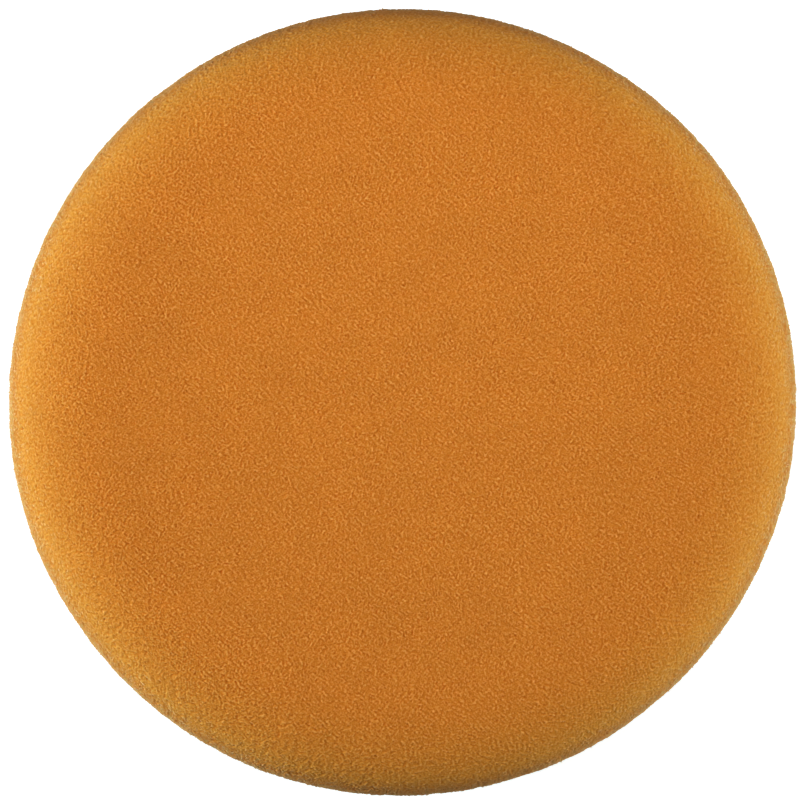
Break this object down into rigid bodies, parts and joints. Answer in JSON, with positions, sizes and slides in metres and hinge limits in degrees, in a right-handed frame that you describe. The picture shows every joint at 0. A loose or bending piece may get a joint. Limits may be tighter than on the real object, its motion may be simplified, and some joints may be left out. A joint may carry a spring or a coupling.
{
  "type": "polishing pad",
  "caption": "Round flat-faced open-cell foam polishing pad with a rounded working edge and a loop fabric back for a hook-faced backing plate.",
  "frame": {"origin": "centre of the loop face, on the surface that the pad lies on when its loop side is down", "axes": "+Z is the spin axis and points from the loop face to the working face; +X and +Y lie in the loop face, and any turn about Z is the same part"},
  "size_m": [0.15, 0.15, 0.025],
  "materials": {
    "foam": "matte",
    "loop_cloth": "matte",
    "hot_melt": "satin"
  },
  "bodies": {
    "root": {"foam_disc": "foam", "bond_film": "hot_melt", "ground_cloth": "loop_cloth", "loop_pile": "loop_cloth"}
  },
  "joints": []
}
